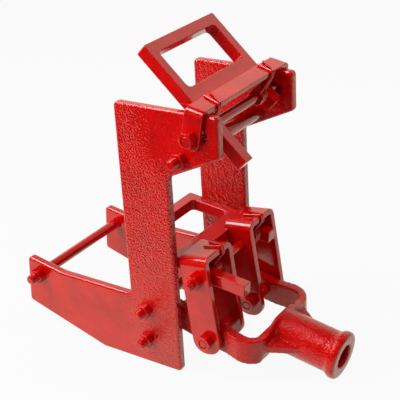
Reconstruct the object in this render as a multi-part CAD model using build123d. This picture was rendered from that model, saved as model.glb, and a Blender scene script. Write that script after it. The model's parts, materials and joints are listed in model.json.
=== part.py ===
"""Wall jack that climbs a 38 x 89 mm timber: two profile-cut side plates tied by bolts,
a cast fork with a handle socket, and two gripping shackles with sprung trip levers.

Millimetres, +Z up, +X towards the handle, Y = 0 is the middle plane. The working frame has
its X zero on the front edge of the columns; the finished jack is moved so that its origin
lies at the bottom centre of its bounding box.
"""
import os
from math import atan2, cos, pi, radians, sin, tan

from build123d import *

# Timber and the windows that grip it
TIMBER_WIDTH = 89.0
TIMBER_DEPTH = 38.0
WINDOW_WIDTH_PLAY = 6.2
WINDOW_DEPTH_PLAY = 6.2
GRIP_THICKNESS = 12.7
GRIP_SIDE_BAR = 11.3
GRIP_REAR_BAR = 11.9
GRIP_FRONT_BAR = 19.5
GRIP_INNER_RADIUS = 5.0
GRIP_OUTER_RADIUS = 2.5
GRIP_EDGE_RADIUS = 0.8

# Side plates
PLATE_THICKNESS = 9.5
PLATE_EDGE_RADIUS = 2.6
SHACKLE_SIDE_PLAY = 5.3
COLUMN_WIDTH = 57.7
FOOT_REAR = -100.3
TOP_REAR_HEIGHT = 289.8
TOP_FRONT_HEIGHT = 292.0
EAR_REACH = 60.0
EAR_DEPTH = 41.0
NECK_DROP = 29.4
SHELF_HEIGHT = 77.8
SHELF_REAR = -151.0
LIP_REACH = -197.5
LIP_HEIGHT = 86.4
TOE_REACH = -202.2
TOE_HEIGHT = 30.3
NECK_RADIUS = 8.0
SHELF_RADIUS = 6.0
SHELF_BEND_RADIUS = 40.0
CORNER_RADIUS = 4.5

# Fasteners
BOLT_RADIUS = 4.76
HOLE_PLAY = 0.09
NUT_PLAY = 0.04
HEX_ACROSS = 14.3
HEAD_HEIGHT = 6.2
NUT_HEIGHT = 8.3
THREAD_SHOW = 9.0
TIP_CHAMFER = 1.2
HEX_CORNER_RADIUS = 8.2
HEX_CHAMFER_HEIGHT = 0.7
HEX_CHAMFER_WIDTH = 1.4
TUBE_RADIUS = 6.35
TUBE_BORE_PLAY = 0.19
UPPER_TUBE_RADIUS = 8.55
UPPER_TUBE_WALL = 2.3
ARM_ROD_RADIUS = 5.6

# Places of the cross members, in X and Z
ARM_ROD = (-182.2, 68.0)
FULCRUM = (-38.8, 65.0)
LOWER_TIE = (-39.1, 30.0)
UPPER_PIVOT_DROP = 21.0
UPPER_TIE_DROP = 47.4
UPPER_PIVOT = (33.8, TOP_FRONT_HEIGHT - UPPER_PIVOT_DROP)
UPPER_TIE = (17.2, TOP_FRONT_HEIGHT - UPPER_TIE_DROP)
SLOT_TRAVEL = 8.5
SLOT_END_PLAY = 0.3
SLOT_HEIGHT_PLAY = 0.7

# Cast fork
FORK_PIN = (30.5, 45.0)
FORK_TIMBER_PLAY = 2.5
FORK_ARM_THICKNESS = 11.5
FORK_EYE_RADIUS = 13.5
FORK_ARM_HEIGHT = 26.0
FORK_SPLAY = 3.0
FORK_SPLAY_START = 16.0
FORK_SPLAY_LENGTH = 15.0
FORK_CROSS_REAR = 75.5
FORK_CROSS_DEPTH = 8.0
FORK_OUTER_CORNER = 21.0
FORK_INNER_CORNER = 9.0
SOCKET_RADIUS = 22.2
SOCKET_REAR = 76.5
SOCKET_FRONT = 150.5
SOCKET_DROOP = 9.7
SOCKET_BORE_RADIUS = 12.5
SOCKET_BORE_DEPTH = 68.0
FLANGE_RADIUS = 25.6
FLANGE_WIDTH = 7.5
FLANGE_EDGE_RADIUS = 3.2
FLANGE_SWEEP = 5.0
SOCKET_REAR_RADIUS = 5.0
GUSSET_THICKNESS = 9.0
GUSSET_REACH = 32.0
CAST_OVERLAP = 3.0
SHOULDER_HALF_WIDTH = 9.0
SHOULDER_REACH = 38.0
SHOULDER_DROP = 1.2
ARM_PLAY = 0.3

# Lower shackle: two inverted U brackets under the front bar of the window frame
BRACKET_LEAN = 7.5
BRACKET_WIDTH = 31.75
BRACKET_SETBACK = 1.7
BRACKET_THICKNESS = 6.35
BRACKET_SPAN = 49.5
BRACKET_PLATE_LAP = 2.9
BRACKET_BEND_RADIUS = 9.0
BRACKET_TOE_DROP = 16.5
BRACKET_TOE_RADIUS = 14.3
TRIP_PIN_RISE = 67.8
BRACKET_HEAD_RISE = 24.0
STOP_PLAY = 0.3
LOWER_GRIP_TILT = 6.8
LOWER_GRIP_LAP = 5.0

# Upper shackle: bent strap with ears outside the side plates
STRAP_LEAN = 10.5
STRAP_WIDTH = 19.05
STRAP_THICKNESS = 4.76
STRAP_EAR_PLAY = 1.6
STRAP_BEND_RADIUS = 7.0
STRAP_TOE_DROP = 13.0
UPPER_GRIP_DROP = 3.0
STRAP_TOE_RADIUS = 9.2
UPPER_GRIP_TILT = 43.0
WELD_LEG = 6.0
WELD_ROOT = 3.0

# Trip levers and their springs
LEVER_SQUARE = 12.7
LEVER_REACH = 48.5
LEVER_TAIL = 8.5
LEVER_EDGE_RADIUS = 0.7
DOG_REACH = 17.0
UPPER_LEVER_INSET = 20.9
LOWER_LEVER_INSET = 17.3
UPPER_DOG_INSET = 10.8
LOWER_DOG_INSET = 14.3
SPRING_WIRE = 2.4
SPRING_MEAN_RADIUS = 7.4
SPRING_TURNS = 4
SPRING_WIND_GAP = 0.1
SPRING_SIDE_PLAY = 0.35
HOOK_PLAY = 0.2
HOOK_WIRE = 2.2
HOOK_BEND_RADIUS = 1.5
HOOK_LENGTH = 19.0
HOOK_SPACING = 3.0
HOOK_SPREAD = 7.0
HOOK_SWING = 8.0
HOOK_START = 52.0

# Worked out
BORE = BOLT_RADIUS + HOLE_PLAY
WINDOW_WIDTH = TIMBER_WIDTH + WINDOW_WIDTH_PLAY
WINDOW_DEPTH = TIMBER_DEPTH + WINDOW_DEPTH_PLAY
GRIP_WIDTH = WINDOW_WIDTH + 2 * GRIP_SIDE_BAR
GRIP_LENGTH = GRIP_REAR_BAR + WINDOW_DEPTH + GRIP_FRONT_BAR
PLATE_INNER = GRIP_WIDTH / 2 + SHACKLE_SIDE_PLAY
PLATE_OUTER = PLATE_INNER + PLATE_THICKNESS
FORK_ARM_INNER = TIMBER_WIDTH / 2 + FORK_TIMBER_PLAY
FORK_ARM_OUTER = FORK_ARM_INNER + FORK_ARM_THICKNESS
BRACKET_OUTER = PLATE_INNER + BRACKET_PLATE_LAP
BRACKET_INNER = BRACKET_OUTER - BRACKET_SPAN
STRAP_OUTER = PLATE_OUTER + STRAP_EAR_PLAY + STRAP_THICKNESS
SPRING_PITCH = SPRING_WIRE + SPRING_WIND_GAP
SPRING_LENGTH = SPRING_TURNS * SPRING_PITCH + SPRING_WIRE
LEVER_HALF = LEVER_SQUARE / 2 + SPRING_SIDE_PLAY
UPPER_LEVER_Y = UPPER_LEVER_INSET - PLATE_INNER
LOWER_LEVER_Y = LOWER_LEVER_INSET - BRACKET_OUTER
UPPER_DOG_Y = PLATE_INNER - UPPER_DOG_INSET
LOWER_DOG_Y = BRACKET_OUTER - LOWER_DOG_INSET


def along_y(shape, place, y, towards=1):
    """Turn a shape built along +Z so that it runs along +Y or -Y from (place, y)."""
    return Location((place[0], y, place[1])) * Rotation(-90 * towards, 0, 0) * shape


def rod_y(place, radius, y_from, y_to):
    """Plain round bar along Y."""
    bar = Cylinder(radius, y_to - y_from, align=(Align.CENTER, Align.CENTER, Align.MIN))
    return along_y(bar, place, y_from)


def tube_y(place, radius, bore, y_from, y_to):
    """Plain tube along Y."""
    return rod_y(place, radius, y_from, y_to) - rod_y(place, bore, y_from - 1, y_to + 1)


def hexagon(height):
    """Hexagon of a bolt head or nut, standing on z = 0, with its corners turned down on top."""
    prism = extrude(RegularPolygon(HEX_ACROSS / 2, 6, major_radius=False), height)
    turned = Cylinder(HEX_CORNER_RADIUS, height, align=(Align.CENTER, Align.CENTER, Align.MIN))
    turned = chamfer(turned.edges().sort_by(Axis.Z)[-1], length=HEX_CHAMFER_HEIGHT,
                     length2=HEX_CHAMFER_WIDTH)
    return prism & turned


def bolt(place, y_head, y_tip):
    """Bolt along Y with its head against y_head and its threaded end at y_tip."""
    shank = Cylinder(BOLT_RADIUS, y_head - y_tip, align=(Align.CENTER, Align.CENTER, Align.MIN))
    shank = chamfer(shank.edges().sort_by(Axis.Z)[0], length=TIP_CHAMFER)
    return along_y(shank, place, y_tip) + along_y(hexagon(HEAD_HEIGHT), place, y_head)


def nut(place, y_face, towards=-1):
    """Hexagon nut seated on y_face, standing out towards -Y or +Y."""
    body = hexagon(NUT_HEIGHT) - Cylinder(BOLT_RADIUS + NUT_PLAY, 4 * NUT_HEIGHT)
    return along_y(body, place, y_face, towards)


def turned_about(place, angle):
    """Frame at a pivot whose local X points forward and, for a positive angle, down."""
    return Location((place[0], 0, place[1]), (0, angle, 0))


def local_to_world(place, angle, forward, up):
    """World X and Z of a local point of turned_about(place, angle)."""
    a = radians(angle)
    return (place[0] + forward * cos(a) + up * sin(a), place[1] - forward * sin(a) + up * cos(a))


TRIP_PIN = local_to_world(FORK_PIN, -BRACKET_LEAN, 0, TRIP_PIN_RISE)


def side_plate(side):
    """Column, shelf arm, foot and ear of one side, cut from plate with softened rims."""
    underside = TOP_FRONT_HEIGHT - EAR_DEPTH
    points = [(0, 0), (0, underside - NECK_DROP), (EAR_REACH, underside),
              (EAR_REACH, TOP_FRONT_HEIGHT),
              (-COLUMN_WIDTH, TOP_REAR_HEIGHT), (-COLUMN_WIDTH, SHELF_HEIGHT),
              (SHELF_REAR, SHELF_HEIGHT), (LIP_REACH, LIP_HEIGHT), (TOE_REACH, TOE_HEIGHT),
              (FOOT_REAR, 0)]
    outline = make_face(Polyline(*points, close=True))
    radii = {1: NECK_RADIUS, 5: SHELF_RADIUS, 6: SHELF_BEND_RADIUS}
    for index, (x, z) in enumerate(points):
        corner = outline.vertices().sort_by_distance((x, z, 0))[0]
        outline = fillet(corner, radii.get(index, CORNER_RADIUS))
    plate = extrude(outline, PLATE_THICKNESS)
    rims = plate.faces().sort_by(Axis.Z)
    plate = fillet(rims[0].edges() + rims[-1].edges(), PLATE_EDGE_RADIUS)
    plate = Rotation(90, 0, 0) * plate
    y_far = -PLATE_INNER if side < 0 else PLATE_OUTER
    plate = Location((0, y_far, 0)) * plate
    for place in (ARM_ROD, FULCRUM, LOWER_TIE, UPPER_TIE):
        plate -= rod_y(place, BORE, -2 * PLATE_OUTER, 2 * PLATE_OUTER)
    slot_length = SLOT_TRAVEL + 2 * SLOT_END_PLAY
    slot_radius = BOLT_RADIUS + SLOT_HEIGHT_PLAY
    slot = extrude(SlotCenterToCenter(slot_length, 2 * slot_radius), 4 * PLATE_OUTER, both=True)
    slot = Rotation(90, 0, 0) * slot
    centre = UPPER_PIVOT[0] + SLOT_TRAVEL / 2
    return plate - Location((centre, 0, UPPER_PIVOT[1])) * slot


def arm_tie_rod():
    """Shouldered rod between the shelf arms, threaded at both ends."""
    end = PLATE_OUTER + NUT_HEIGHT + THREAD_SHOW
    thread = Cylinder(BOLT_RADIUS, 2 * end)
    thread = chamfer(thread.edges(), length=TIP_CHAMFER)
    return Location((ARM_ROD[0], 0, ARM_ROD[1])) * Rotation(90, 0, 0) * thread + rod_y(
        ARM_ROD, ARM_ROD_RADIUS, -PLATE_INNER, PLATE_INNER)


def arm_tie_nuts():
    """The two nuts of the shelf-arm rod."""
    return Compound([nut(ARM_ROD, -PLATE_OUTER), nut(ARM_ROD, PLATE_OUTER, 1)])


def frame_bolt(place):
    """Bolt through both side plates, with thread standing out of its nut."""
    return bolt(place, PLATE_OUTER, -PLATE_OUTER - NUT_HEIGHT - THREAD_SHOW)


def spacer_tube(place, y_from, y_to):
    """Half-inch spacer tube on a bolt."""
    return tube_y(place, TUBE_RADIUS, BOLT_RADIUS + TUBE_BORE_PLAY, y_from, y_to)


def fork_side_profile():
    """Side view of the fork's arms and crossbar as a face in X and Z: from the fulcrum's eye
    down to the pin, and on along the socket's axis."""
    knee = (FORK_PIN[0], socket_axis_height(FORK_PIN[0]))
    slope = atan2(FULCRUM[1] - knee[1], knee[0] - FULCRUM[0])
    droop = radians(SOCKET_DROOP)
    half = FORK_ARM_HEIGHT / 2
    eye = [(FULCRUM[0] + FORK_EYE_RADIUS * sin(slope + turn),
            FULCRUM[1] + FORK_EYE_RADIUS * cos(slope + turn)) for turn in (0, -pi / 2, pi)]
    bend = (slope + droop) / 2
    reach = half / cos((slope - droop) / 2)
    knee_top = (knee[0] + reach * sin(bend), knee[1] + reach * cos(bend))
    knee_low = (knee[0] - reach * sin(bend), knee[1] - reach * cos(bend))
    front = FORK_CROSS_REAR + FORK_CROSS_DEPTH
    end = (front, socket_axis_height(front))
    end_top = (end[0] + half * sin(droop), end[1] + half * cos(droop))
    end_low = (end[0] - half * sin(droop), end[1] - half * cos(droop))
    return make_face([
        Line(eye[0], knee_top), Line(knee_top, end_top), Line(end_top, end_low),
        Line(end_low, knee_low), Line(knee_low, eye[2]), ThreePointArc(eye[2], eye[1], eye[0])])


def fork_plan_outline(half_width, x_end, corner):
    """Half-open outline of the fork in X and Y: straight arms, splayed before the crossbar."""
    rear = FULCRUM[0] - 2 * FORK_EYE_RADIUS
    splay_from = FORK_PIN[0] + FORK_SPLAY_START
    splay_to = splay_from + FORK_SPLAY_LENGTH
    wide = half_width + FORK_SPLAY
    outline = make_face(Polyline(
        (rear, -half_width), (splay_from, -half_width), (splay_to, -wide), (x_end, -wide),
        (x_end, wide), (splay_to, wide), (splay_from, half_width), (rear, half_width), close=True))
    return fillet(outline.vertices().group_by(Axis.X)[-1], corner)


def fork_plan_profile():
    """Top view of the fork's U-shaped ribbon as a face in X and Y."""
    outer = fork_plan_outline(FORK_ARM_OUTER, FORK_CROSS_REAR + FORK_CROSS_DEPTH, FORK_OUTER_CORNER)
    return outer - fork_plan_outline(FORK_ARM_INNER, FORK_CROSS_REAR, FORK_INNER_CORNER)


def socket_axis_height(x):
    """Height of the socket's axis at x, set by the rounded flange resting on the ground."""
    lean = radians(SOCKET_DROOP)
    ring = FLANGE_RADIUS - FLANGE_EDGE_RADIUS
    front_height = ring * cos(lean) + FLANGE_EDGE_RADIUS * (1 - sin(lean))
    return front_height + (SOCKET_FRONT - x) * tan(lean)


def socket_body():
    """Turned form of the socket along its own axis, front face on z = 0: rounded rear,
    barrel, swept fillet and rounded flange."""
    length = (SOCKET_FRONT - SOCKET_REAR) / cos(radians(SOCKET_DROOP))
    profile = make_face(Polyline(
        (0, 0), (FLANGE_RADIUS, 0), (FLANGE_RADIUS, -FLANGE_WIDTH),
        (SOCKET_RADIUS, -FLANGE_WIDTH - FLANGE_SWEEP), (SOCKET_RADIUS, -length), (0, -length),
        close=True))
    radii = [((FLANGE_RADIUS, 0), FLANGE_EDGE_RADIUS),
             ((FLANGE_RADIUS, -FLANGE_WIDTH), FLANGE_EDGE_RADIUS),
             ((SOCKET_RADIUS, -FLANGE_WIDTH - FLANGE_SWEEP), FLANGE_SWEEP),
             ((SOCKET_RADIUS, -length), SOCKET_REAR_RADIUS)]
    for place, radius in radii:
        profile = fillet(profile.vertices().sort_by_distance((*place, 0))[0], radius)
    return revolve(Plane.XZ * profile, Axis.Z)


def shoulder_profile():
    """Rear view of the crossbar's swell as a face in Y and Z, rising in S-curves to the socket."""
    x = FORK_CROSS_REAR + FORK_CROSS_DEPTH / 2
    low = socket_axis_height(x) + FORK_ARM_HEIGHT / 2 - CAST_OVERLAP
    crown = socket_axis_height(x) + SOCKET_RADIUS - SHOULDER_DROP
    level = [(1, 0), (1, 0)]
    rise = Spline((-SHOULDER_REACH, low + CAST_OVERLAP), (-SHOULDER_HALF_WIDTH, crown), tangents=level)
    fall = Spline((SHOULDER_HALF_WIDTH, crown), (SHOULDER_REACH, low + CAST_OVERLAP), tangents=level)
    return make_face([
        Line((-SHOULDER_REACH, low), (-SHOULDER_REACH, low + CAST_OVERLAP)), rise,
        Line((-SHOULDER_HALF_WIDTH, crown), (SHOULDER_HALF_WIDTH, crown)), fall,
        Line((SHOULDER_REACH, low + CAST_OVERLAP), (SHOULDER_REACH, low)),
        Line((SHOULDER_REACH, low), (-SHOULDER_REACH, low))])


def handle_fork():
    """Cast fork: ribbon arms, crossbar, tapered shoulders, gussets, socket and flange."""
    ribbon = extrude(Plane.XZ * fork_side_profile(), 2 * FORK_ARM_OUTER, both=True)
    ribbon &= extrude(fork_plan_profile(), 4 * SOCKET_FRONT, both=True)
    axis = Location((SOCKET_FRONT, 0, socket_axis_height(SOCKET_FRONT)), (0, 90 + SOCKET_DROOP, 0))
    shoulder = Plane.YZ.offset(FORK_CROSS_REAR + CAST_OVERLAP) * shoulder_profile()
    shoulder = extrude(shoulder, FORK_CROSS_DEPTH - CAST_OVERLAP)
    front = FORK_CROSS_REAR + FORK_CROSS_DEPTH
    wide = FORK_ARM_INNER - CAST_OVERLAP
    narrow = SOCKET_RADIUS - CAST_OVERLAP
    gusset = make_face(Polyline(
        (-CAST_OVERLAP, -wide), (GUSSET_REACH, -narrow), (GUSSET_REACH, narrow), (-CAST_OVERLAP, wide),
        close=True))
    gusset = extrude(gusset, GUSSET_THICKNESS / 2, both=True)
    gusset = Location((front, 0, socket_axis_height(front)), (0, SOCKET_DROOP, 0)) * gusset
    fork = ribbon + axis * socket_body() + shoulder + gusset
    fork -= axis * Cylinder(SOCKET_BORE_RADIUS, SOCKET_BORE_DEPTH,
                            align=(Align.CENTER, Align.CENTER, Align.MAX))
    fork -= rod_y(FULCRUM, BORE, -2 * FORK_ARM_OUTER, 2 * FORK_ARM_OUTER)
    return fork - rod_y(FORK_PIN, BORE, -2 * FORK_ARM_OUTER, 2 * FORK_ARM_OUTER)


def fork_pin(side):
    """Short bolt through one U bracket and one fork arm, head towards +Y."""
    low, high = (-BRACKET_OUTER, -BRACKET_INNER) if side < 0 else (BRACKET_INNER, BRACKET_OUTER)
    return bolt(FORK_PIN, high, low - NUT_HEIGHT)


def fork_pin_nut(side):
    """Nut of one fork pin."""
    return nut(FORK_PIN, -BRACKET_OUTER if side < 0 else BRACKET_INNER)


def fork_pin_spacers(side):
    """Spacers that keep the fork arm off both legs of its U bracket."""
    spans = [(BRACKET_INNER + BRACKET_THICKNESS, FORK_ARM_INNER - ARM_PLAY),
             (FORK_ARM_OUTER + ARM_PLAY, BRACKET_OUTER - BRACKET_THICKNESS)]
    return Compound([spacer_tube(FORK_PIN, *sorted((side * a, side * b))) for a, b in spans])


def window_plate():
    """Flat gripping plate with its window; its front top edge is the local Y axis."""
    blank = Rectangle(GRIP_LENGTH, GRIP_WIDTH, align=(Align.MAX, Align.CENTER))
    blank = fillet(blank.vertices(), GRIP_OUTER_RADIUS)
    window = Rectangle(WINDOW_DEPTH, WINDOW_WIDTH, align=(Align.MAX, Align.CENTER))
    window = fillet(window.vertices(), GRIP_INNER_RADIUS)
    blank -= Location((-GRIP_FRONT_BAR, 0)) * window
    plate = extrude(blank, -GRIP_THICKNESS)
    faces = plate.faces().sort_by(Axis.Z)
    return fillet(faces[-1].edges() + faces[0].edges(), GRIP_EDGE_RADIUS)


def bent_strap(span, thickness, bend, width, rise, toe_drop, toe_radius):
    """Flat bar bent to an inverted U across Y: web on top, two legs with rounded toes.
    Local frame: X is the bar's width, Z = 0 the height of the lower pin, Z = rise the top."""
    half = span / 2
    outer = Rectangle(span, rise + toe_drop, align=(Align.CENTER, Align.MAX))
    outer = fillet(outer.vertices().group_by(Axis.Y)[-1], bend)
    inner = Rectangle(span - 2 * thickness, rise + toe_drop, align=(Align.CENTER, Align.MAX))
    inner = fillet(inner.vertices().group_by(Axis.Y)[-1], bend - thickness)
    section = outer - Location((0, -thickness)) * inner
    bar = extrude(Plane.YZ * (Location((0, rise)) * section), width / 2, both=True)
    side = Rectangle(width, rise + toe_drop, align=(Align.CENTER, Align.MAX))
    side = fillet(side.vertices().group_by(Axis.Y)[0], toe_radius)
    return bar & extrude(Plane.XZ * (Location((0, rise)) * side), 2 * half, both=True)


def u_bracket(side):
    """Inverted U that hangs the lower window plate on the fork pin."""
    rise = TRIP_PIN_RISE + BRACKET_HEAD_RISE
    bracket = bent_strap(BRACKET_SPAN, BRACKET_THICKNESS, BRACKET_BEND_RADIUS, BRACKET_WIDTH,
                         rise, BRACKET_TOE_DROP, BRACKET_TOE_RADIUS)
    centre = side * (BRACKET_OUTER - BRACKET_SPAN / 2)
    bracket = turned_about(FORK_PIN, -BRACKET_LEAN) * Location((-BRACKET_SETBACK, centre, 0)) * bracket
    for pin in (FORK_PIN, TRIP_PIN):
        bracket -= rod_y(pin, BORE, -2 * BRACKET_OUTER, 2 * BRACKET_OUTER)
    return bracket


def lower_grip_origin():
    """Front top edge of the lower window plate, seated against the webs' undersides."""
    rear = -BRACKET_WIDTH / 2 - BRACKET_SETBACK
    under = TRIP_PIN_RISE + BRACKET_HEAD_RISE - BRACKET_THICKNESS
    x, z = local_to_world(FORK_PIN, -BRACKET_LEAN, rear, under)
    lean = radians(LOWER_GRIP_TILT)
    return (x + LOWER_GRIP_LAP * cos(lean), z - LOWER_GRIP_LAP * sin(lean))


def lower_window_plate():
    """Gripping plate of the lower shackle with the weld wedges under both webs."""
    plate = turned_about(lower_grip_origin(), LOWER_GRIP_TILT) * window_plate()
    rear = -BRACKET_WIDTH / 2 - BRACKET_SETBACK
    under = TRIP_PIN_RISE + BRACKET_HEAD_RISE - BRACKET_THICKNESS
    heel = local_to_world(FORK_PIN, -BRACKET_LEAN, rear, under)
    toe = local_to_world(FORK_PIN, -BRACKET_LEAN, rear + LOWER_GRIP_LAP + WELD_LEG, under)
    seat = lower_grip_origin()
    lean = radians(LOWER_GRIP_TILT)
    foot = (seat[0] - WELD_LEG * sin(lean), seat[1] - WELD_LEG * cos(lean))
    back = (heel[0] - WELD_ROOT * sin(lean), heel[1] - WELD_ROOT)
    wedge = make_face(Polyline(heel, toe, foot, back, close=True))
    for side in (-1, 1):
        inner = BRACKET_INNER + BRACKET_BEND_RADIUS
        outer = min(GRIP_WIDTH / 2, BRACKET_OUTER - BRACKET_BEND_RADIUS)
        low, high = sorted((side * inner, side * outer))
        plate += Location((0, high, 0)) * extrude(Plane.XZ * wedge, high - low)
    return plate - u_bracket(-1) - u_bracket(1)


def upper_strap():
    """Strap of the upper shackle: web above the side plates, ears outside them."""
    rise = STRAP_RISE
    strap = bent_strap(2 * STRAP_OUTER, STRAP_THICKNESS, STRAP_BEND_RADIUS, STRAP_WIDTH,
                       rise, STRAP_TOE_DROP, STRAP_TOE_RADIUS)
    strap = turned_about(UPPER_PIVOT, STRAP_LEAN) * strap
    return strap - rod_y(UPPER_PIVOT, BORE, -2 * STRAP_OUTER, 2 * STRAP_OUTER)


def strap_rise():
    """Height of the web's top above the pivot, with its lowest corner a play above the side
    plates over the whole slot."""
    slope = (TOP_FRONT_HEIGHT - TOP_REAR_HEIGHT) / (EAR_REACH + COLUMN_WIDTH)
    lean = radians(STRAP_LEAN)
    heights = []
    for forward, slide in ((STRAP_WIDTH / 2, SLOT_TRAVEL), (-STRAP_WIDTH / 2, 0.0)):
        x = UPPER_PIVOT[0] + slide + forward * cos(lean)
        plate_top = TOP_REAR_HEIGHT + slope * (x + COLUMN_WIDTH) + STOP_PLAY
        climb = plate_top - UPPER_PIVOT[1] + forward * sin(lean)
        heights.append(climb / (cos(lean) - slope * sin(lean)))
    return max(heights) + STRAP_THICKNESS


STRAP_RISE = strap_rise()


def upper_window_plate():
    """Gripping plate of the upper shackle with its weld bead under the strap's web."""
    under = STRAP_RISE - STRAP_THICKNESS
    heel = local_to_world(UPPER_PIVOT, STRAP_LEAN, -STRAP_WIDTH / 2, under)
    seat = local_to_world(UPPER_PIVOT, STRAP_LEAN, -STRAP_WIDTH / 2, under - UPPER_GRIP_DROP)
    plate = turned_about(seat, UPPER_GRIP_TILT) * window_plate()
    ahead = local_to_world(UPPER_PIVOT, STRAP_LEAN, -STRAP_WIDTH / 2 + WELD_LEG, under)
    lean = radians(UPPER_GRIP_TILT)
    foot = (seat[0] - WELD_LEG * sin(lean), seat[1] - WELD_LEG * cos(lean))
    inside = (seat[0] - WELD_ROOT * (cos(lean) + sin(lean)),
              seat[1] + WELD_ROOT * (sin(lean) - cos(lean)))
    bead = extrude(Plane.XZ * make_face(Polyline(heel, ahead, foot, inside, close=True)),
                   GRIP_WIDTH / 2 - GRIP_OUTER_RADIUS, both=True)
    return plate + bead


def square_lever(pivot, tilt, y, reach):
    """Square bar on a pivot bolt, lying along the window plate's plane."""
    bar = Box(reach + LEVER_TAIL, LEVER_SQUARE, LEVER_SQUARE,
              align=(Align.MIN, Align.CENTER, Align.MAX))
    bar = fillet(bar.edges(), LEVER_EDGE_RADIUS)
    bar = turned_about(pivot, tilt) * Location((-LEVER_TAIL, y, LEVER_SQUARE / 2)) * bar
    return bar - rod_y(pivot, BORE, -2 * PLATE_OUTER, 2 * PLATE_OUTER)


def torsion_spring(pivot, tilt, y_from, hook_y, swing, web):
    """Close-wound spring on a pivot bolt; both ends rise in front of the web, bend over its
    edge and lie on its top, swung sideways towards the rear. web is the front, the underside
    and the top of the web, measured from the pivot at that tilt."""
    coil = Helix(SPRING_PITCH, SPRING_TURNS * SPRING_PITCH, SPRING_MEAN_RADIUS)
    wire = sweep(Plane(coil @ 0, z_dir=coil % 0) * Circle(SPRING_WIRE / 2), path=coil,
                 is_frenet=True)
    spring = Location((0, y_from + SPRING_WIRE / 2, 0)) * Rotation(-90, 0, 0) * wire
    clear = HOOK_WIRE / 2 + HOOK_PLAY
    front, top = web[0] + clear, web[2] + clear
    start = radians(HOOK_START)
    root = (SPRING_MEAN_RADIUS * cos(start), SPRING_MEAN_RADIUS * sin(start))
    hooks = []
    for end in (-1, 1):
        y_coil = y_from + SPRING_LENGTH / 2 + end * SPRING_TURNS * SPRING_PITCH / 2
        y_edge = hook_y + end * HOOK_SPACING / 2
        y_rear = y_edge + swing + end * HOOK_SPREAD / 2
        route = FilletPolyline(
            (root[0], y_coil, root[1]), (front, y_edge, web[1]), (front, y_edge, top),
            (front - HOOK_LENGTH, y_rear, top), radius=HOOK_BEND_RADIUS)
        section = Plane(route @ 0, z_dir=route % 0) * Circle(HOOK_WIRE / 2)
        hooks.append(sweep(section, path=route))
    spring = spring + hooks[0] + hooks[1]
    return turned_about(pivot, tilt) * spring


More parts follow.
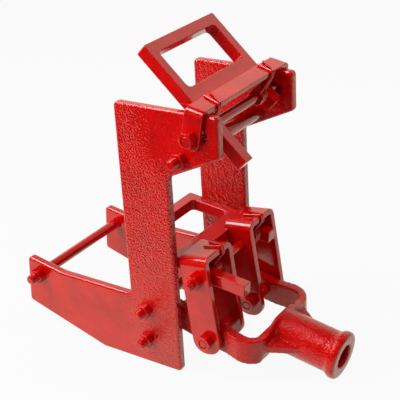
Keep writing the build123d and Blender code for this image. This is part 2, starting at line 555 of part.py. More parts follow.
def build():
    """Every sub-part by its node name, in the working frame."""
    lower_web = (BRACKET_WIDTH / 2 - BRACKET_SETBACK, BRACKET_HEAD_RISE - BRACKET_THICKNESS,
                 BRACKET_HEAD_RISE)
    upper_web = (STRAP_WIDTH / 2, STRAP_RISE - STRAP_THICKNESS, STRAP_RISE)
    parts = {
        "left_side_plate": side_plate(-1),
        "right_side_plate": side_plate(1),
        "arm_tie_rod": arm_tie_rod(),
        "arm_tie_nuts": arm_tie_nuts(),
        "fulcrum_bolt": frame_bolt(FULCRUM),
        "fulcrum_nut": nut(FULCRUM, -PLATE_OUTER),
        "fulcrum_centre_tube": spacer_tube(FULCRUM, ARM_PLAY - FORK_ARM_INNER,
                                           FORK_ARM_INNER - ARM_PLAY),
        "fulcrum_side_tubes": Compound([
            spacer_tube(FULCRUM, -PLATE_INNER, -FORK_ARM_OUTER - ARM_PLAY),
            spacer_tube(FULCRUM, FORK_ARM_OUTER + ARM_PLAY, PLATE_INNER)]),
        "lower_tie_bolt": frame_bolt(LOWER_TIE),
        "lower_tie_nut": nut(LOWER_TIE, -PLATE_OUTER),
        "lower_tie_tube": spacer_tube(LOWER_TIE, -PLATE_INNER, PLATE_INNER),
        "upper_tie_bolt": frame_bolt(UPPER_TIE),
        "upper_tie_nut": nut(UPPER_TIE, -PLATE_OUTER),
        "upper_tie_tube": tube_y(UPPER_TIE, UPPER_TUBE_RADIUS,
                                 UPPER_TUBE_RADIUS - UPPER_TUBE_WALL, -PLATE_INNER, PLATE_INNER),
        "handle_fork": handle_fork(),
        "left_fork_pin": fork_pin(-1),
        "right_fork_pin": fork_pin(1),
        "fork_pin_nuts": Compound([fork_pin_nut(-1), fork_pin_nut(1)]),
        "left_fork_spacers": fork_pin_spacers(-1),
        "right_fork_spacers": fork_pin_spacers(1),
        "left_u_bracket": u_bracket(-1),
        "right_u_bracket": u_bracket(1),
        "lower_window_plate": lower_window_plate(),
        "lower_trip_pin": bolt(TRIP_PIN, BRACKET_OUTER, -BRACKET_OUTER - NUT_HEIGHT - THREAD_SHOW),
        "lower_trip_pin_nut": nut(TRIP_PIN, -BRACKET_OUTER),
        "lower_trip_lever": square_lever(TRIP_PIN, LOWER_GRIP_TILT, LOWER_LEVER_Y, LEVER_REACH),
        "lower_trip_dog": square_lever(TRIP_PIN, LOWER_GRIP_TILT, LOWER_DOG_Y, DOG_REACH),
        "left_lower_spring": torsion_spring(
            TRIP_PIN, -BRACKET_LEAN, LOWER_LEVER_Y + LEVER_HALF,
            LOWER_LEVER_Y + LEVER_HALF + 3 * SPRING_WIRE, 0, lower_web),
        "right_lower_spring": torsion_spring(
            TRIP_PIN, -BRACKET_LEAN, LOWER_DOG_Y - LEVER_HALF - SPRING_LENGTH,
            LOWER_DOG_Y - LEVER_HALF - 2 * SPRING_WIRE, 0, lower_web),
        "upper_pivot_bolt": bolt(UPPER_PIVOT, STRAP_OUTER, -STRAP_OUTER - NUT_HEIGHT),
        "upper_pivot_nut": nut(UPPER_PIVOT, -STRAP_OUTER),
        "upper_strap": upper_strap(),
        "upper_window_plate": upper_window_plate(),
        "upper_trip_lever": square_lever(UPPER_PIVOT, UPPER_GRIP_TILT, UPPER_LEVER_Y, LEVER_REACH),
        "upper_trip_dog": square_lever(UPPER_PIVOT, UPPER_GRIP_TILT, UPPER_DOG_Y, DOG_REACH),
        "left_upper_spring": torsion_spring(
            UPPER_PIVOT, STRAP_LEAN, UPPER_LEVER_Y - LEVER_HALF - SPRING_LENGTH,
            UPPER_LEVER_Y - LEVER_HALF - SPRING_WIRE, HOOK_SWING, upper_web),
        "right_upper_spring": torsion_spring(
            UPPER_PIVOT, STRAP_LEAN, UPPER_DOG_Y - LEVER_HALF - SPRING_LENGTH,
            UPPER_DOG_Y - LEVER_HALF - SPRING_WIRE, HOOK_SWING, upper_web),
    }
    return parts


def main():
    os.makedirs("parts", exist_ok=True)
    parts = build()
    box = Compound([part.moved(Location()) for part in parts.values()]).bounding_box()
    shift = Location((-(box.min.X + box.max.X) / 2, 0, -box.min.Z))
    for name, part in parts.items():
        export_step(part.moved(shift), f"parts/{name}.step")


main()
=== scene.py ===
"""Wall jack that climbs a timber: thick red enamel, threaded bolts, rippled welds and a cast
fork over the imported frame, with a pale stage and a camera like the photograph's."""

import json
from math import cos, pi, radians, sin, tau

import bmesh
import bpy
from bpy.props import FloatProperty, FloatVectorProperty, IntProperty, PointerProperty
from mathutils import Matrix, Vector, noise


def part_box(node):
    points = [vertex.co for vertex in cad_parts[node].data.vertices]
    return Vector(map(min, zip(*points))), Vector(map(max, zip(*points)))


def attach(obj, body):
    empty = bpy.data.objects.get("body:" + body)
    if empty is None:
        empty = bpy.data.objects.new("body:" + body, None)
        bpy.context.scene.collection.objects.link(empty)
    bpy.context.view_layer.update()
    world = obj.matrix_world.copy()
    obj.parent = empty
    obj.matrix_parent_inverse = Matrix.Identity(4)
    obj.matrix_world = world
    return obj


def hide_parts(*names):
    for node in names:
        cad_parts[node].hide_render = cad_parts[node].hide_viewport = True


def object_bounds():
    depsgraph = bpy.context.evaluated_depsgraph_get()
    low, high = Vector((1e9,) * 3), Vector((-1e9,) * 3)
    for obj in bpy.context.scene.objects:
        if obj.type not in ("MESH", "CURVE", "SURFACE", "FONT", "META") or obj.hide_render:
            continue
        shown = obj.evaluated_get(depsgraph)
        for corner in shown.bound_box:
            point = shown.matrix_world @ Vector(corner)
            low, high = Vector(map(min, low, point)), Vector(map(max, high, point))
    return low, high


bl_info = {
    "name": "Wall jack",
    "version": (1, 0, 0),
    "blender": (4, 5, 0),
    "location": "3D View > Sidebar > Wall jack",
    "description": "Paints and details a hand-pumped wall jack and sets its stage",
    "category": "Object",
}

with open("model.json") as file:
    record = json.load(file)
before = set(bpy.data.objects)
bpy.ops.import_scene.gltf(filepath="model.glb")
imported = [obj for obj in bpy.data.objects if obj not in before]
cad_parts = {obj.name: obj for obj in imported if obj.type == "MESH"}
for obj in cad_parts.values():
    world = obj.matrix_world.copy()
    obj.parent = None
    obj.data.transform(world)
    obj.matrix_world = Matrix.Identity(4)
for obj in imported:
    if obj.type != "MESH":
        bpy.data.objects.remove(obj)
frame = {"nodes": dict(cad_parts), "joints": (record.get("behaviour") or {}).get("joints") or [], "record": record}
CAD_LOW, CAD_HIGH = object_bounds()
NODES = frame["nodes"]
BODY_OF = {node: body for body, members in frame["record"]["behaviour"]["bodies"].items()
           for node in members}
SLOT_OF = {part["node"]: part["material_slot"] for part in frame["record"]["subparts"]}
JOINTS = {joint["name"]: joint for joint in frame["joints"]}


class JackSizes(bpy.types.PropertyGroup):
    """Sizes of the details."""
    peel_size: FloatProperty(
        name="Orange peel", description="Width of one bump of the sprayed enamel",
        default=0.0021, min=0.0005, unit="LENGTH")
    peel_height: FloatProperty(
        name="Peel height", description="Height of the enamel's bumps",
        default=0.0015, min=0.0, unit="LENGTH")
    rim_radius: FloatProperty(
        name="Rim radius", description="Radius that the thick enamel gives to sharp edges",
        default=0.0022, min=0.0, unit="LENGTH")
    gloss: FloatProperty(
        name="Gloss", description="Roughness of the enamel", default=0.06, min=0.0, max=1.0)
    thread_pitch: FloatProperty(
        name="Thread pitch", description="Distance between two turns of a bolt's thread",
        default=0.0254 / 16, min=0.0005, unit="LENGTH")
    thread_depth: FloatProperty(
        name="Thread depth", description="Height of a thread's crest over the rod",
        default=0.00042, min=0.0, unit="LENGTH")
    casting_grain: FloatProperty(
        name="Casting mesh", description="Size of the faces of the smoothed casting",
        default=0.0010, min=0.0005, unit="LENGTH")
    casting_softness: IntProperty(
        name="Casting softness", description="Rounds of smoothing that soften the casting",
        default=12, min=0)
    weld_radius: FloatProperty(
        name="Weld radius", description="Radius of the weld beads under the gripping plates",
        default=0.0034, min=0.0, unit="LENGTH")
    ripple: FloatProperty(
        name="Weld ripple", description="Distance between two ripples of a weld bead",
        default=0.0023, min=0.0005, unit="LENGTH")


class JackColours(bpy.types.PropertyGroup):
    """Colours of the finishes and the stage."""
    enamel: FloatVectorProperty(
        name="Enamel", description="Red of the enamel where it lies thin", subtype="COLOR",
        size=3, default=(0.66, 0.0012, 0.0012), min=0.0, max=1.0)
    # Darker red where the enamel pools, also used as painted shade in the hollows of the orange peel
    pooled_enamel_and_pit_shade: FloatVectorProperty(
        name="Deep enamel", description="Red of the enamel where it has pooled",
        subtype="COLOR", size=3, default=(0.36, 0.0003, 0.0003), min=0.0, max=1.0)
    floor: FloatVectorProperty(
        name="Floor", description="Colour of the floor", subtype="COLOR", size=3,
        default=(0.55, 0.55, 0.55), min=0.0, max=1.0)


class Wire:
    """One value in a material, so that shader maths reads as an expression."""

    def __init__(self, shader, socket):
        self.shader = shader
        self.socket = socket

    def maths(self, operation, first, second):
        """Math node on two values."""
        return self.shader.add("ShaderNodeMath", {"operation": operation}, [first, second])

    def __add__(self, other):
        return self.maths("ADD", self, other)

    def __radd__(self, other):
        return self.maths("ADD", other, self)

    def __sub__(self, other):
        return self.maths("SUBTRACT", self, other)

    def __rsub__(self, other):
        return self.maths("SUBTRACT", other, self)

    def __mul__(self, other):
        return self.maths("MULTIPLY", self, other)

    def __rmul__(self, other):
        return self.maths("MULTIPLY", other, self)

    def __truediv__(self, other):
        return self.maths("DIVIDE", self, other)

    def clamped(self):
        """The value, kept between 0 and 1."""
        return self.maths("MAXIMUM", self.maths("MINIMUM", self, 1.0), 0.0)


class Shader:
    """A material or a world and the one way in which its nodes are added."""

    def __init__(self, owner):
        self.owner = owner
        owner.use_nodes = True
        self.tree = owner.node_tree
        self.tree.nodes.clear()

    def add(self, kind, settings, inputs, output=0):
        """Node of a type, with its settings, the values or wires of its sockets and one output."""
        node = self.tree.nodes.new(kind)
        for name, value in settings.items():
            setattr(node, name, value)
        pairs = inputs.items() if isinstance(inputs, dict) else enumerate(inputs)
        for key, value in pairs:
            if isinstance(value, Wire):
                self.tree.links.new(value.socket, node.inputs[key])
            else:
                node.inputs[key].default_value = value
        return Wire(self, node.outputs[output]) if node.outputs else None

    def noise(self, place, size, detail=2.0, roughness=0.5):
        """Soft noise from 0 to 1 whose blots are about size metres wide."""
        return self.add("ShaderNodeTexNoise", {}, {
            "Vector": place, "Scale": 1.0 / size, "Detail": detail, "Roughness": roughness})

    def blend(self, factor, first, second):
        """Mix of two colours."""
        return self.add("ShaderNodeMix", {"data_type": "RGBA"},
                        {0: factor, 6: (*first, 1.0), 7: (*second, 1.0)}, output=2)

    def axes(self, place):
        """The three numbers of a vector."""
        node = self.tree.nodes.new("ShaderNodeSeparateXYZ")
        self.tree.links.new(place.socket, node.inputs[0])
        return [Wire(self, socket) for socket in node.outputs]


def material(name):
    """New material, ready for its nodes."""
    return Shader(bpy.data.materials.new(name))


def step_between(wire, low, high):
    """0 below low, 1 above high and straight in between."""
    return ((wire - low) / (high - low)).clamped()


# Widths of the enamel's noises in metres; the swell's is a multiple of the orange peel's
FLOW_SIZE = 0.035
FINE_SIZE = 0.006
GRIT_SIZE = 0.0011
SWELL_TIMES = 4
SWELL_HEIGHT = 0.05
# Shares of the noises in the darker red: flow and fine are pooled enamel, the hollow share is painted shade in the
# pits of the orange peel; and the sums at which it begins and is full
FLOW_SHARE = 0.7
FINE_SHARE = 0.3
PIT_SHADE_SHARE = 1.3
POOLING_AND_SHADE_SUMS = (0.40, 0.85)
# Cosines between rim and face at which the peel begins and is full
PEEL_ON_FACE = (0.86, 0.99)
RIM_SAMPLES = 6
FINE_ROUGHNESS = 0.08
GLOSS_IOR = 1.65
CAST_IOR = 1.48


def enamel(name, peel=1.0, grit=0.0, rim=1.0, peel_mask=None):
    """Thick sprayed gloss enamel: pooled colour, orange peel whose hollows get painted shade, and rims rounded by
    the paint.

    Peel and rim are shares of the sizes in the panel, grit is the height of a cast skin's
    grain, and peel_mask says where the peel lies."""
    sizes, colours = bpy.context.scene.jack_sizes, bpy.context.scene.jack_colours
    shader = material(name)
    place = shader.add("ShaderNodeTexCoord", {}, {}, output=3)
    flow = shader.noise(place, FLOW_SIZE, detail=3.0)
    fine = shader.noise(place, FINE_SIZE, detail=2.0)
    coarse = shader.noise(place, sizes.peel_size, detail=1.0, roughness=0.4) - 0.5
    swell = shader.noise(place, sizes.peel_size * SWELL_TIMES, detail=1.0)
    shape = {}
    if rim:
        rounded = shader.add("ShaderNodeBevel", {"samples": RIM_SAMPLES},
                             {"Radius": sizes.rim_radius * rim})
        faces = shader.add("ShaderNodeNewGeometry", {}, {}, output="Normal")
        flat = shader.add("ShaderNodeVectorMath", {"operation": "DOT_PRODUCT"},
                          [rounded, faces], output="Value")
        coarse = coarse * step_between(flat, *PEEL_ON_FACE)
        shape["Normal"] = rounded
    coarse = coarse * peel
    if peel_mask:
        coarse = coarse * peel_mask(shader, place)
    # Darker red where the enamel pools, plus painted shade in the pits of the orange peel
    pooling_and_pit_shade = flow * FLOW_SHARE + fine * FINE_SHARE - coarse * PIT_SHADE_SHARE
    colour = shader.blend(step_between(pooling_and_pit_shade, *POOLING_AND_SHADE_SUMS), tuple(colours.enamel),
                          tuple(colours.pooled_enamel_and_pit_shade))
    height = coarse + swell * SWELL_HEIGHT
    if grit:
        height = height + shader.noise(place, GRIT_SIZE, detail=2.5) * grit
    bump = shader.add("ShaderNodeBump", {}, {
        "Strength": 1.0, "Distance": sizes.peel_height, "Height": height, **shape})
    surface = shader.add("ShaderNodeBsdfPrincipled", {}, {
        "Base Color": colour, "Roughness": sizes.gloss + FINE_ROUGHNESS * fine,
        "Normal": bump, "IOR": CAST_IOR if grit else GLOSS_IOR})
    shader.add("ShaderNodeOutputMaterial", {}, {"Surface": surface})
    return shader.owner


# Where the peel of the side plates begins and is full: the column in X, the head in X and Z
COLUMN_REAR = JOINTS["handle_pump"]["pos_m"][0] - 0.019
COLUMN_IN_X = (COLUMN_REAR - 0.02, COLUMN_REAR + 0.012)
HEAD_IN_X = (-0.020, 0.010)
HEAD_IN_Z = (0.215, 0.245)
# Share of the peel on the shelf arm, what the column has more, and what the head has less
ARM_PEEL = 0.04
COLUMN_PEEL = 0.96
HEAD_PEEL_LOST = 0.66


def column_mask(shader, place):
    """The enamel is coarse on the columns of the side plates, finer on their heads and smooth
    on their shelf arms."""
    x, _, z = shader.axes(place)
    column = step_between(x, *COLUMN_IN_X)
    head = step_between(x, *HEAD_IN_X) * step_between(z, *HEAD_IN_Z)
    return ARM_PEEL + column * (COLUMN_PEEL - HEAD_PEEL_LOST * head)


FINISHES = {}


def finish_of(node):
    """The enamel of a node, made once for each finish."""
    if not FINISHES:
        FINISHES.update({
            "plates": enamel("coarse_enamel", peel=1.0, peel_mask=column_mask),
            "gloss_red_paint": enamel("gloss_enamel", peel=0.045, rim=0.65),
            "cast_red_paint": enamel("cast_enamel", peel=0.50, grit=0.20, rim=0),
            "fastener_red_paint": enamel("fastener_enamel", peel=0.04, rim=0.3),
            "spring_red_paint": enamel("spring_enamel", peel=0.0, rim=0),
        })
    return FINISHES["plates" if node.endswith("side_plate") else SLOT_OF[node]]


def add_piece(name, mesh, node):
    """Put a mesh in the scene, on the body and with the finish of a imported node."""
    piece = bpy.data.objects.new(name, mesh)
    bpy.context.scene.collection.objects.link(piece)
    mesh.materials.clear()
    mesh.materials.append(finish_of(node))
    mesh.shade_smooth()
    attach(piece, BODY_OF[node])
    return piece


class JACK_OT_paint(bpy.types.Operator):
    """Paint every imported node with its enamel"""
    bl_idname = "jack.paint"
    bl_label = "Paint the parts"

    def execute(self, context):
        for name, node in NODES.items():
            mesh = node.data
            mesh.materials.clear()
            mesh.materials.append(finish_of(name))
            for polygon in mesh.polygons:
                polygon.material_index = 0
        return {"FINISHED"}


class JACK_OT_rims(bpy.types.Operator):
    """Round the edges of the side plates and of the bent bars"""
    bl_idname = "jack.rims"
    bl_label = "Round the rims"

    # Node and the share of the rim radius that its edges get
    ROUNDED = {"left_side_plate": 0.7, "right_side_plate": 0.7, "left_u_bracket": 0.33,
               "right_u_bracket": 0.33, "upper_strap": 0.3}
    SHARP = radians(40)
    FLAT = radians(0.4)
    SEGMENTS = 3
    SAME_PLACE = 1e-6

    def execute(self, context):
        radius = context.scene.jack_sizes.rim_radius
        for name, share in self.ROUNDED.items():
            piece = add_piece(f"rounded_{name}", self.plain_faces(name), name)
            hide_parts(name)
            rim = piece.modifiers.new("rim", "BEVEL")
            rim.limit_method = "ANGLE"
            rim.angle_limit = self.SHARP
            rim.width = radius * share
            rim.segments = self.SEGMENTS
            rim.use_clamp_overlap = False
            piece.modifiers.new("triangles", "TRIANGULATE").ngon_method = "BEAUTY"
            even = piece.modifiers.new("even", "WEIGHTED_NORMAL")
            even.weight = 100
            even.keep_sharp = False
        return {"FINISHED"}

    def plain_faces(self, name):
        """The node's mesh with its triangles joined to flat faces."""
        work = bmesh.new()
        work.from_mesh(NODES[name].data)
        bmesh.ops.remove_doubles(work, verts=work.verts, dist=self.SAME_PLACE)
        bmesh.ops.dissolve_limit(work, angle_limit=self.FLAT, verts=work.verts,
                                 edges=work.edges)
        mesh = bpy.data.meshes.new(name)
        work.to_mesh(mesh)
        work.free()
        return mesh


def strip_mesh(name, rows):
    """Closed skin over rows of points, each row one cross-section."""
    work = bmesh.new()
    loops = [[work.verts.new(point) for point in row] for row in rows]
    for first, second in zip(loops, loops[1:]):
        for i in range(len(first)):
            j = (i + 1) % len(first)
            work.faces.new((first[i], first[j], second[j], second[i]))
    work.faces.new(loops[0])
    work.faces.new(loops[-1][::-1])
    bmesh.ops.recalc_face_normals(work, faces=work.faces)
    mesh = bpy.data.meshes.new(name)
    work.to_mesh(mesh)
    work.free()
    return mesh


class JACK_OT_casting(bpy.types.Operator):
    """Cast the fork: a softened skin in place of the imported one, with its parting ridges"""
    bl_idname = "jack.casting"
    bl_label = "Cast the fork"

    # Middle of the barrel at its two ends, and its radius
    SOCKET_FRONT = Vector((0.1743, 0.0, 0.02474))
    SOCKET_REAR = Vector((0.1003, 0.0, 0.03739))
    SOCKET_RADIUS = 0.0222
    # Part of the barrel that a ridge runs along, from its rear
    RIDGE_START = 0.02
    RIDGE_SHARE = 0.84
    RIDGE_STEPS = 24
    RIDGE_CORNERS = 8
    # Half width of a ridge, how much it wavers and how often, its height and its depth
    RIDGE_HALF = 0.0006
    RIDGE_WAVER = 0.00012
    WAVERS = 30
    RIDGE_TALL = 1.3
    RIDGE_SUNK = 0.00015

    def execute(self, context):
        sizes = context.scene.jack_sizes
        fork = add_piece("cast_fork", NODES["handle_fork"].data.copy(), "handle_fork")
        remesh = fork.modifiers.new("skin", "REMESH")
        remesh.mode = "VOXEL"
        remesh.voxel_size = sizes.casting_grain
        soften = fork.modifiers.new("soften", "SMOOTH")
        soften.factor = 0.5
        soften.iterations = sizes.casting_softness
        context.view_layer.update()
        skin = bpy.data.meshes.new_from_object(
            fork.evaluated_get(context.evaluated_depsgraph_get()))
        fork.modifiers.clear()
        fork.data = skin
        skin.name = "cast_fork"
        skin.materials.clear()
        skin.materials.append(finish_of("handle_fork"))
        skin.shade_smooth()
        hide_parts("handle_fork")
        for side, name in ((-1, "left_parting_ridge"), (1, "right_parting_ridge")):
            add_piece(name, self.ridge(side), "handle_fork")
        return {"FINISHED"}

    def ridge(self, side):
        """Thin ridge on the barrel where the halves of the mould met."""
        rows = []
        for i in range(self.RIDGE_STEPS + 1):
            share = self.RIDGE_START + self.RIDGE_SHARE * i / self.RIDGE_STEPS
            middle = self.SOCKET_REAR.lerp(self.SOCKET_FRONT, share)
            middle.y = side * (self.SOCKET_RADIUS - self.RIDGE_SUNK)
            waver = noise.noise(Vector((share * self.WAVERS, side, 0)))
            half = self.RIDGE_HALF + self.RIDGE_WAVER * waver
            tall = half * self.RIDGE_TALL
            turns = (k * tau / self.RIDGE_CORNERS for k in range(self.RIDGE_CORNERS))
            rows.append([middle + Vector((0, side * half * cos(turn), tall * sin(turn)))
                         for turn in turns])
        return strip_mesh("parting_ridge", rows)


class JACK_OT_threads(bpy.types.Operator):
    """Wind a thread round the ends of the bolts and rods that stand out of their nuts"""
    bl_idname = "jack.threads"
    bl_label = "Cut the threads"

    # Bolt or rod, its nuts, and the sides on which its end shows
    ENDS = {
        "arm_tie_rod": ("arm_tie_nuts", (-1, 1)),
        "fulcrum_bolt": ("fulcrum_nut", (-1,)),
        "lower_tie_bolt": ("lower_tie_nut", (-1,)),
        "upper_tie_bolt": ("upper_tie_nut", (-1,)),
    }
    # How far the thread starts inside the nut and ends short of the tip
    START_IN = 0.0006
    END_SHORT = 0.0013
    # Reach along Y of the points that belong to the bolt's last ring
    RING_REACH = 0.0016
    STEPS_PER_TURN = 20
    LEAST_STEPS = 8
    # The crest rises from a tenth to full height over a sixth of the thread
    CREST_RISE = 6
    CREST_LEAST = 0.1
    # Depth of the foot under the rod, half the foot in pitches and the crest's share of it
    FOOT_SUNK = 0.0002
    FOOT_PITCHES = 0.36
    CREST_SHARE = 0.22

    def execute(self, context):
        for node, (nut, sides) in self.ENDS.items():
            low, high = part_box(node)
            nut_low, nut_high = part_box(nut)
            for side in sides:
                tip = low.y if side < 0 else high.y
                face = nut_low.y if side < 0 else nut_high.y
                self.wind(context, f"{node}_thread_{'left' if side < 0 else 'right'}", node,
                          face - side * self.START_IN, tip - side * self.END_SHORT)
        return {"FINISHED"}

    def wind(self, context, name, node, start, end):
        """One thread from start to end in Y, with its crest fading out at both."""
        sizes = context.scene.jack_sizes
        ring = [v.co for v in NODES[node].data.vertices
                if abs(v.co.y - end) < self.RING_REACH]
        xs = [p.x for p in ring]
        zs = [p.z for p in ring]
        centre = Vector(((min(xs) + max(xs)) / 2, 0, (min(zs) + max(zs)) / 2))
        radius = (max(xs) - min(xs)) / 2
        turns = abs(end - start) / sizes.thread_pitch
        steps = max(self.LEAST_STEPS, int(turns * self.STEPS_PER_TURN))
        wide = Vector((0, sizes.thread_pitch * self.FOOT_PITCHES, 0))
        narrow = wide * self.CREST_SHARE
        rows = []
        for i in range(steps + 1):
            share = i / steps
            turn = share * turns * tau
            out = Vector((cos(turn), 0, sin(turn)))
            fade = min(1.0, self.CREST_RISE * share + self.CREST_LEAST,
                       self.CREST_RISE * (1 - share) + self.CREST_LEAST)
            along = Vector((0, start + (end - start) * share, 0))
            foot = centre + out * (radius - self.FOOT_SUNK) + along
            crest = centre + out * (radius + sizes.thread_depth * fade) + along
            rows.append([foot - wide, crest - narrow, crest + narrow, foot + wide])
        add_piece(name, strip_mesh(name, rows), node)


class JACK_OT_welds(bpy.types.Operator):
    """Lay rippled weld beads under the strap and the U brackets, where the plates meet them"""
    bl_idname = "jack.welds"
    bl_label = "Lay the welds"

    # Node, middle of the bead's face in X and Z, direction that it faces, Y of its two ends
    BEADS = {
        "upper_weld": ("upper_window_plate", (0.0531, 0.29148), (0.51, -0.86), (-0.055, 0.055)),
        "left_lower_weld": ("lower_window_plate", (0.0333, 0.12487), (0.77, -0.64),
                            (-0.0575, -0.0275)),
        "right_lower_weld": ("lower_window_plate", (0.0333, 0.12487), (0.77, -0.64),
                             (0.0275, 0.0575)),
    }
    STEPS_PER_RIPPLE = 8
    CORNERS = 14
    # A bead's ends have this share of its radius and swell to all of it at this rate
    END_SHARE = 0.45
    END_SWELL = 9
    # Share of the radius between ripples, and how far and how often the bead wanders
    VALLEY = 0.86
    WANDER = 0.00025
    WANDER_Y = 180
    WANDER_X = 90
    # Share of the radius that lies in the steel, and how the cross-section is flattened
    SUNK = 0.55
    TALL = 0.8
    WIDE = 1.15
    # Share of a ripple by which its crest runs ahead of its feet
    BOW = 0.55

    def execute(self, context):
        sizes = context.scene.jack_sizes
        for name, (node, (x, z), (face_x, face_z), (low, high)) in self.BEADS.items():
            out = Vector((face_x, 0, face_z)).normalized()
            side = Vector((-out.z, 0, out.x))
            steps = int((high - low) / sizes.ripple * self.STEPS_PER_RIPPLE)
            rows = []
            for i in range(steps + 1):
                share = i / steps
                y = low + (high - low) * share
                wave = abs(sin(pi * (y - low) / sizes.ripple))
                wander = self.WANDER * noise.noise(
                    Vector((y * self.WANDER_Y, x * self.WANDER_X, 0)))
                full = min(1.0, self.END_SHARE + self.END_SWELL * share,
                           self.END_SHARE + self.END_SWELL * (1 - share))
                crest = self.VALLEY + (1 - self.VALLEY) * wave
                radius = sizes.weld_radius * full * crest + wander
                middle = Vector((x, y, z)) - out * sizes.weld_radius * self.SUNK
                bow = Vector((0, sizes.ripple * self.BOW, 0))
                turns = (k * tau / self.CORNERS for k in range(self.CORNERS))
                rows.append([middle + out * radius * cos(turn) * self.TALL
                             + side * radius * sin(turn) * self.WIDE
                             + bow * cos(turn) * full for turn in turns])
            add_piece(name, strip_mesh(name, rows), node)
        return {"FINISHED"}


# The photograph's camera, in metres, degrees and pixels
CAMERA_PLACE = (0.5705, -0.8085, 0.6402)
CAMERA_AZIMUTH = 34.771
CAMERA_ELEVATION = 25.847
CAMERA_ROLL = 3.364
FOCAL_PIXELS = 1064.2
IMAGE_PIXELS = 400
SENSOR = 36.0
# Level direction in which it looks
AWAY = Vector((-sin(radians(CAMERA_AZIMUTH)), cos(radians(CAMERA_AZIMUTH)), 0.0))


def set_camera():
    """Camera at the photograph's place, aimed by azimuth, elevation and roll."""
    turn, rise, roll = (radians(a) for a in (CAMERA_AZIMUTH, CAMERA_ELEVATION, CAMERA_ROLL))
    back = Vector((cos(rise) * sin(turn), -cos(rise) * cos(turn), sin(rise)))
    level = Vector((cos(turn), sin(turn), 0.0))
    upright = back.cross(level)
    right = level * cos(roll) - upright * sin(roll)
    up = upright * cos(roll) + level * sin(roll)
    lens = bpy.data.cameras.new("camera")
    lens.sensor_width = SENSOR
    lens.lens = FOCAL_PIXELS / IMAGE_PIXELS * SENSOR
    camera = bpy.data.objects.new("camera", lens)
    axes = Matrix((right, up, back)).transposed().to_4x4()
    camera.matrix_world = Matrix.Translation(CAMERA_PLACE) @ axes
    bpy.context.scene.collection.objects.link(camera)
    bpy.context.scene.camera = camera


def softbox(name, place, target, size, power, in_gloss):
    """Rectangular lamp that faces a point, for the gloss alone or for the colour alone."""
    lamp = bpy.data.lights.new(name, "AREA")
    lamp.shape = "RECTANGLE"
    lamp.size, lamp.size_y = size
    lamp.energy = power
    stand = bpy.data.objects.new(name, lamp)
    facing = (Vector(target) - Vector(place)).to_track_quat("-Z", "Y")
    stand.matrix_world = Matrix.Translation(place) @ facing.to_matrix().to_4x4()
    stand.visible_glossy = in_gloss
    stand.visible_diffuse = not in_gloss
    bpy.context.scene.collection.objects.link(stand)


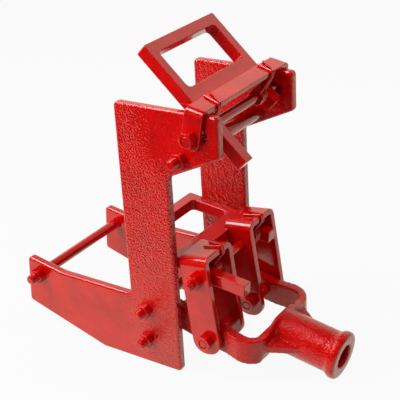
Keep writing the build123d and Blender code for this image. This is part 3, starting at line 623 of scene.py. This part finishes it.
class JACK_OT_stage(bpy.types.Operator):
    """Set the floor, the lamps, the white surroundings and the camera"""
    bl_idname = "jack.stage"
    bl_label = "Set the stage"

    # Name, place, target, size, watts and whether it shows in the gloss and lights nothing
    LAMPS = (
        ("key", (-0.75, -0.55, 1.45), (0, 0, 0.12), (0.55, 0.55), 13.0, False),
        ("gloss_box", (-0.72, -0.42, 1.40), (0, 0, 0.12), (0.9, 0.9), 23.0, True),
        ("front_fill", (-0.7, -1.6, 0.9), (0, 0, 0.12), (1.3, 1.0), 22.0, False),
        ("top", (0.6, 0.1, 1.6), (0, 0, 0.15), (0.7, 0.7), 9.0, False),
    )
    FLOOR_HALF = 3.0
    FLOOR_GAP = 0.0002
    # Where the floor starts to be dark in the gloss and is darkest, in Y
    FLOOR_DARK_IN_Y = (-0.245, -0.245 - 0.09)
    FLOOR_DARKEST = 0.04
    # Share of plain white that the camera sees in the floor
    FLOOR_WHITE = 0.93
    WHITE = (1.0, 1.0, 1.0)
    WARM_WHITE = (1.0, 1.0, 0.84)
    # In the gloss the room is white behind the jack, from how far round and up to what height
    ROOM_BEHIND = (0.15, 0.45)
    ROOM_LOW = (0.80, 0.60)
    ROOM_DARKEST = 0.06
    # Light that the room gives to the colour: everywhere, and more from the left
    ROOM_FILL = 0.07
    LEFT_FILL = 0.22
    LEFT_IN_X = (0.6, -0.4)

    def execute(self, context):
        scene = context.scene
        scene.view_settings.view_transform = "Standard"
        self.set_floor(scene)
        self.set_world(scene)
        for lamp in self.LAMPS:
            softbox(*lamp)
        set_camera()
        return {"FINISHED"}

    def set_floor(self, scene):
        """White floor; in the jack's gloss it fades to dark towards the camera."""
        mesh = bpy.data.meshes.new("floor")
        half = self.FLOOR_HALF
        corners = [(-half, -half, 0), (half, -half, 0), (half, half, 0), (-half, half, 0)]
        mesh.from_pydata(corners, [], [(0, 1, 2, 3)])
        floor = bpy.data.objects.new("floor", mesh)
        floor.location.z = CAD_LOW.z - self.FLOOR_GAP
        scene.collection.objects.link(floor)
        shader = material("floor_white")
        place = shader.add("ShaderNodeTexCoord", {}, {}, output=3)
        y = shader.axes(place)[1]
        far = step_between(y, *self.FLOOR_DARK_IN_Y)
        seen = shader.add("ShaderNodeLightPath", {}, {}, output="Is Camera Ray")
        gloss = shader.add("ShaderNodeLightPath", {}, {}, output="Is Glossy Ray")
        matte = shader.add("ShaderNodeBsdfDiffuse", {},
                           {"Color": (*scene.jack_colours.floor, 1)})
        dark = shader.add("ShaderNodeEmission", {}, {"Strength": self.FLOOR_DARKEST})
        glow = shader.blend(seen, self.WARM_WHITE, self.WHITE)
        white = shader.add("ShaderNodeEmission", {}, {"Color": glow, "Strength": 1.0})
        mirrored = shader.add("ShaderNodeMixShader", {}, [far, white, dark])
        plain = shader.add("ShaderNodeMixShader", {}, [gloss, matte, mirrored])
        surface = shader.add("ShaderNodeMixShader", {},
                             [seen * self.FLOOR_WHITE, plain, white])
        shader.add("ShaderNodeOutputMaterial", {}, {"Surface": surface})
        mesh.materials.append(shader.owner)

    def set_world(self, scene):
        """White for the camera; in the jack's gloss white behind it and dark before it."""
        world = bpy.data.worlds.new("white_room")
        scene.world = world
        shader = Shader(world)
        way = shader.add("ShaderNodeTexCoord", {}, {}, output=0)
        x, y, z = shader.axes(way)
        behind = step_between(x * AWAY.x + y * AWAY.y, *self.ROOM_BEHIND)
        low = step_between(z, *self.ROOM_LOW)
        seen = shader.add("ShaderNodeLightPath", {}, {}, output="Is Camera Ray")
        gloss = shader.add("ShaderNodeLightPath", {}, {}, output="Is Glossy Ray")
        backdrop = self.ROOM_DARKEST + (1 - self.ROOM_DARKEST) * (behind * low)
        fill = self.ROOM_FILL + self.LEFT_FILL * step_between(x, *self.LEFT_IN_X)
        level = seen + (1 - seen) * (gloss * backdrop + (1 - gloss) * fill)
        warm = shader.blend(gloss, self.WHITE, self.WARM_WHITE)
        glow = shader.add("ShaderNodeBackground", {}, {"Color": warm, "Strength": level})
        shader.add("ShaderNodeOutputWorld", {}, {"Surface": glow})


class JACK_PT_panel(bpy.types.Panel):
    """Sidebar panel with the sizes, the colours and the steps"""
    bl_label = "Wall jack"
    bl_idname = "JACK_PT_panel"
    bl_space_type = "VIEW_3D"
    bl_region_type = "UI"
    bl_category = "Wall jack"

    def draw(self, context):
        for group in (context.scene.jack_sizes, context.scene.jack_colours):
            for name in group.__annotations__:
                self.layout.prop(group, name)
        for operator in STEPS:
            self.layout.operator(operator.bl_idname)


STEPS = (JACK_OT_paint, JACK_OT_rims, JACK_OT_casting, JACK_OT_threads, JACK_OT_welds,
         JACK_OT_stage)
CLASSES = (JackSizes, JackColours, *STEPS, JACK_PT_panel)


def register():
    for made in CLASSES:
        bpy.utils.register_class(made)
    bpy.types.Scene.jack_sizes = PointerProperty(type=JackSizes)
    bpy.types.Scene.jack_colours = PointerProperty(type=JackColours)


def unregister():
    del bpy.types.Scene.jack_colours
    del bpy.types.Scene.jack_sizes
    for made in reversed(CLASSES):
        bpy.utils.unregister_class(made)


def main():
    register()
    for step in STEPS:
        getattr(bpy.ops.jack, step.bl_idname.split(".")[1])()
    bpy.context.view_layer.update()


if __name__ == "__main__":
    main()
